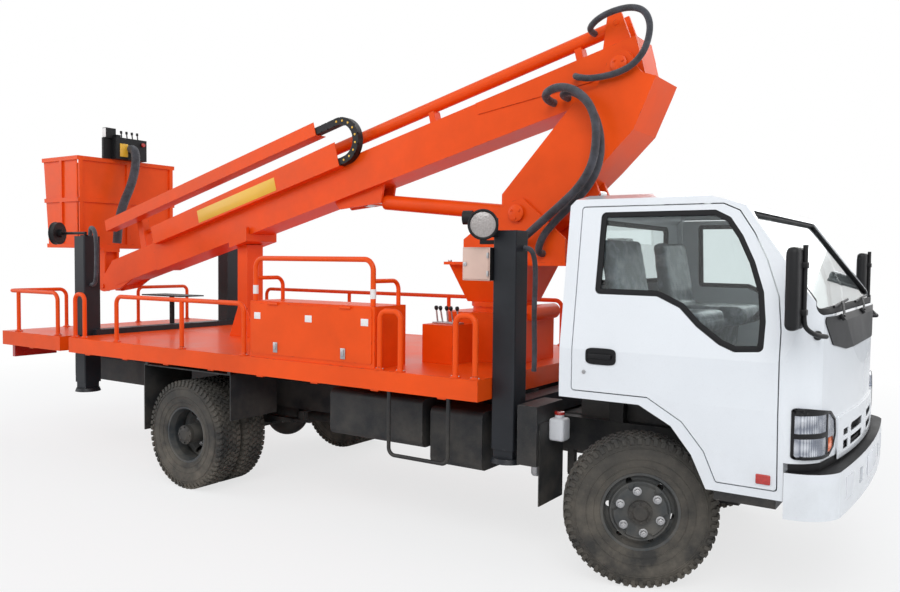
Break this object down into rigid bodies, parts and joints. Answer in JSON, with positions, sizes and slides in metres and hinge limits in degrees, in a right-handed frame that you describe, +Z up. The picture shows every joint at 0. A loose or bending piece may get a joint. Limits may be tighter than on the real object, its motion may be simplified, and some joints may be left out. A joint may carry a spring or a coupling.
{
  "type": "cherry picker truck",
  "caption": "Light truck with a folding, telescoping work boom, rear basket, deck rails, toolbox and four jack legs, parked with the boom stowed.",
  "frame": {"origin": "on the ground under the middle of the whole truck's box, boom stowed", "axes": "+X towards the front of the truck, +Y to its left, +Z up"},
  "size_m": [7.5328, 2.37, 3.2876],
  "materials": {
    "grey_paint": "gloss",
    "red_paint": "gloss",
    "white_paint": "gloss",
    "black_paint": "satin",
    "orange_paint": "gloss",
    "steel": "satin",
    "tyre": "matte",
    "plastic": "matte",
    "fabric": "matte",
    "glass": "polished"
  },
  "bodies": {
    "chassis": {"chassis_frame": "black_paint", "front_axle": "black_paint", "rear_axle": "black_paint", "engine_block": "black_paint", "side_tanks": "black_paint", "deck": "white_paint", "mudguards": "black_paint", "outrigger_front": "white_paint", "outrigger_rear": "white_paint", "cab_shell": "grey_paint", "cab_glass": "glass", "front_bumper": "black_paint", "seats": "fabric", "dashboard": "plastic", "headlamps": "white_paint", "grille": "white_paint", "tail_lamps": "red_paint", "mirrors": "plastic", "deck_rails": "white_paint", "toolbox": "white_paint", "boom_rest": "white_paint", "pedestal": "grey_paint", "cowl_panel": "plastic", "post_fittings": "black_paint", "hoses_chassis": "plastic"},
    "door_right": {"door_right": "grey_paint", "door_glass_right": "glass"},
    "door_left": {"door_left": "grey_paint", "door_glass_left": "glass"},
    "knuckle_right": {"knuckle_right": "black_paint"},
    "knuckle_left": {"knuckle_left": "black_paint"},
    "tie_rod": {"tie_rod": "black_paint"},
    "wheel_front_right": {"wheel_front_right": "steel", "tyre_front_right": "tyre"},
    "wheel_front_left": {"wheel_front_left": "steel", "tyre_front_left": "tyre"},
    "wheel_rear_right": {"wheel_rear_right": "steel", "tyre_rear_right": "tyre"},
    "wheel_rear_left": {"wheel_rear_left": "steel", "tyre_rear_left": "tyre"},
    "jack_leg_front_right": {"jack_leg_front_right": "white_paint"},
    "jack_leg_front_left": {"jack_leg_front_left": "white_paint"},
    "jack_leg_rear_right": {"jack_leg_rear_right": "white_paint"},
    "jack_leg_rear_left": {"jack_leg_rear_left": "white_paint"},
    "toolbox_flap": {"toolbox_flap": "white_paint"},
    "turret": {"turret": "grey_paint"},
    "lower_boom": {"lower_boom": "white_paint", "hoses_mast": "plastic"},
    "upper_boom": {"upper_boom": "white_paint", "hoses_boom": "plastic"},
    "fly": {"fly_boom": "orange_paint"},
    "cable_chain": {"cable_chain": "black_paint"},
    "lift_tube": {"lift_cylinder_tube": "red_paint"},
    "lift_rod": {"lift_cylinder_rod": "steel"},
    "luff_tube": {"luff_cylinder_tube": "red_paint"},
    "luff_rod": {"luff_cylinder_rod": "steel"},
    "basket": {"basket_bracket": "orange_paint", "basket": "white_paint", "basket_controls": "plastic", "hose_basket": "plastic"}
  },
  "joints": [
    {"name": "steer_right", "type": "hinge", "parent": "chassis", "child": "knuckle_right", "pos_m": [2.695, -0.703, 0.43], "axis": [0, 0, 1], "range_deg": [-60, 10]},
    {"name": "wheel_front_right_spin", "type": "hinge", "parent": "knuckle_right", "child": "wheel_front_right", "pos_m": [2.74445, -0.80904, 0.403], "axis": [-0.4226, 0.9063, 0], "continuous": true},
    {"name": "steer_left", "type": "hinge", "parent": "chassis", "child": "knuckle_left", "pos_m": [2.695, 0.703, 0.43], "axis": [0, 0, 1], "range_deg": [-60, 10]},
    {"name": "wheel_front_left_spin", "type": "hinge", "parent": "knuckle_left", "child": "wheel_front_left", "pos_m": [2.64555, 0.80904, 0.403], "axis": [-0.4226, 0.9063, 0], "continuous": true},
    {"name": "tie_rod_swing", "type": "hinge", "parent": "knuckle_right", "child": "tie_rod", "pos_m": [2.57718, -0.75794, 0.29], "axis": [0, 0, 1], "range_deg": [-10, 60]},
    {"name": "wheel_rear_right_spin", "type": "hinge", "parent": "chassis", "child": "wheel_rear_right", "pos_m": [-0.665, -0.85, 0.403], "axis": [0, 1, 0], "continuous": true},
    {"name": "wheel_rear_left_spin", "type": "hinge", "parent": "chassis", "child": "wheel_rear_left", "pos_m": [-0.665, 0.85, 0.403], "axis": [0, 1, 0], "continuous": true},
    {"name": "door_right_hinge", "type": "hinge", "parent": "chassis", "child": "door_right", "pos_m": [3.468, -0.986, 1.3], "axis": [0, 0, 1], "range_deg": [0, 65]},
    {"name": "door_left_hinge", "type": "hinge", "parent": "chassis", "child": "door_left", "pos_m": [3.468, 0.986, 1.3], "axis": [0, 0, 1], "range_deg": [-65, 0]},
    {"name": "toolbox_flap_hinge", "type": "hinge", "parent": "chassis", "child": "toolbox_flap", "pos_m": [0.56, -1.052, 1.409], "axis": [1, 0, 0], "range_deg": [-100, 0]},
    {"name": "jack_front_right_slide", "type": "slide", "parent": "chassis", "child": "jack_leg_front_right", "axis": [0, 0, -1], "range_m": [0, 0.52]},
    {"name": "jack_front_left_slide", "type": "slide", "parent": "chassis", "child": "jack_leg_front_left", "axis": [0, 0, -1], "range_m": [0, 0.52]},
    {"name": "jack_rear_right_slide", "type": "slide", "parent": "chassis", "child": "jack_leg_rear_right", "axis": [0, 0, -1], "range_m": [0, 0.52]},
    {"name": "jack_rear_left_slide", "type": "slide", "parent": "chassis", "child": "jack_leg_rear_left", "axis": [0, 0, -1], "range_m": [0, 0.52]},
    {"name": "slew", "type": "hinge", "parent": "chassis", "child": "turret", "pos_m": [1.43, 0, 1.4], "axis": [0, 0, 1], "continuous": true},
    {"name": "upper_boom_lift", "type": "hinge", "parent": "lower_boom", "child": "upper_boom", "pos_m": [2.334, 0, 2.926], "axis": [0, 1, 0], "range_deg": [0, 64]},
    {"name": "lower_boom_lift", "type": "hinge", "parent": "turret", "child": "lower_boom", "pos_m": [1.65, 0, 2.03], "axis": [0, -1, 0], "range_deg": [0, 16]},
    {"name": "lift_cylinder_swing", "type": "hinge", "parent": "lower_boom", "child": "lift_tube", "pos_m": [1.65, 0, 2.03], "axis": [0, 1, 0], "range_deg": [0, 63.94]},
    {"name": "lift_cylinder_stroke", "type": "slide", "parent": "lift_tube", "child": "lift_rod", "axis": [-0.9954, 0, 0.0961], "range_m": [0, 1.195]},
    {"name": "luff_cylinder_swing", "type": "hinge", "parent": "turret", "child": "luff_tube", "pos_m": [1.93, 0, 1.79], "axis": [0, -1, 0], "range_deg": [0, 12.28]},
    {"name": "luff_cylinder_stroke", "type": "slide", "parent": "luff_tube", "child": "luff_rod", "axis": [0.4948, 0, 0.869], "range_m": [0, 0.099]},
    {"name": "boom_extend", "type": "slide", "parent": "upper_boom", "child": "fly", "axis": [-0.9673, 0, -0.2538], "range_m": [0, 2.3]},
    {"name": "cable_chain_roll", "type": "slide", "parent": "upper_boom", "child": "cable_chain", "axis": [-0.9673, 0, -0.2538], "range_m": [0, 1.15]},
    {"name": "basket_level", "type": "hinge", "parent": "fly", "child": "basket", "pos_m": [-3.10913, 0, 1.42048], "axis": [0, 1, 0], "range_deg": [-48, 0]}
  ],
  "couplings": [
    {"joint": "steer_left", "follows": "steer_right", "ratio": 1},
    {"joint": "tie_rod_swing", "follows": "steer_right", "ratio": -1},
    {"joint": "lower_boom_lift", "follows": "upper_boom_lift", "ratio": 0.25},
    {"joint": "lift_cylinder_swing", "follows": "upper_boom_lift", "ratio": 0.99891},
    {"joint": "lift_cylinder_stroke", "follows": "upper_boom_lift", "m_per_rad": 1.0695},
    {"joint": "luff_cylinder_swing", "follows": "upper_boom_lift", "ratio": 0.19175},
    {"joint": "luff_cylinder_stroke", "follows": "upper_boom_lift", "m_per_rad": 0.087891},
    {"joint": "basket_level", "follows": "upper_boom_lift", "ratio": -0.75},
    {"joint": "cable_chain_roll", "follows": "boom_extend", "ratio": 0.5}
  ]
}
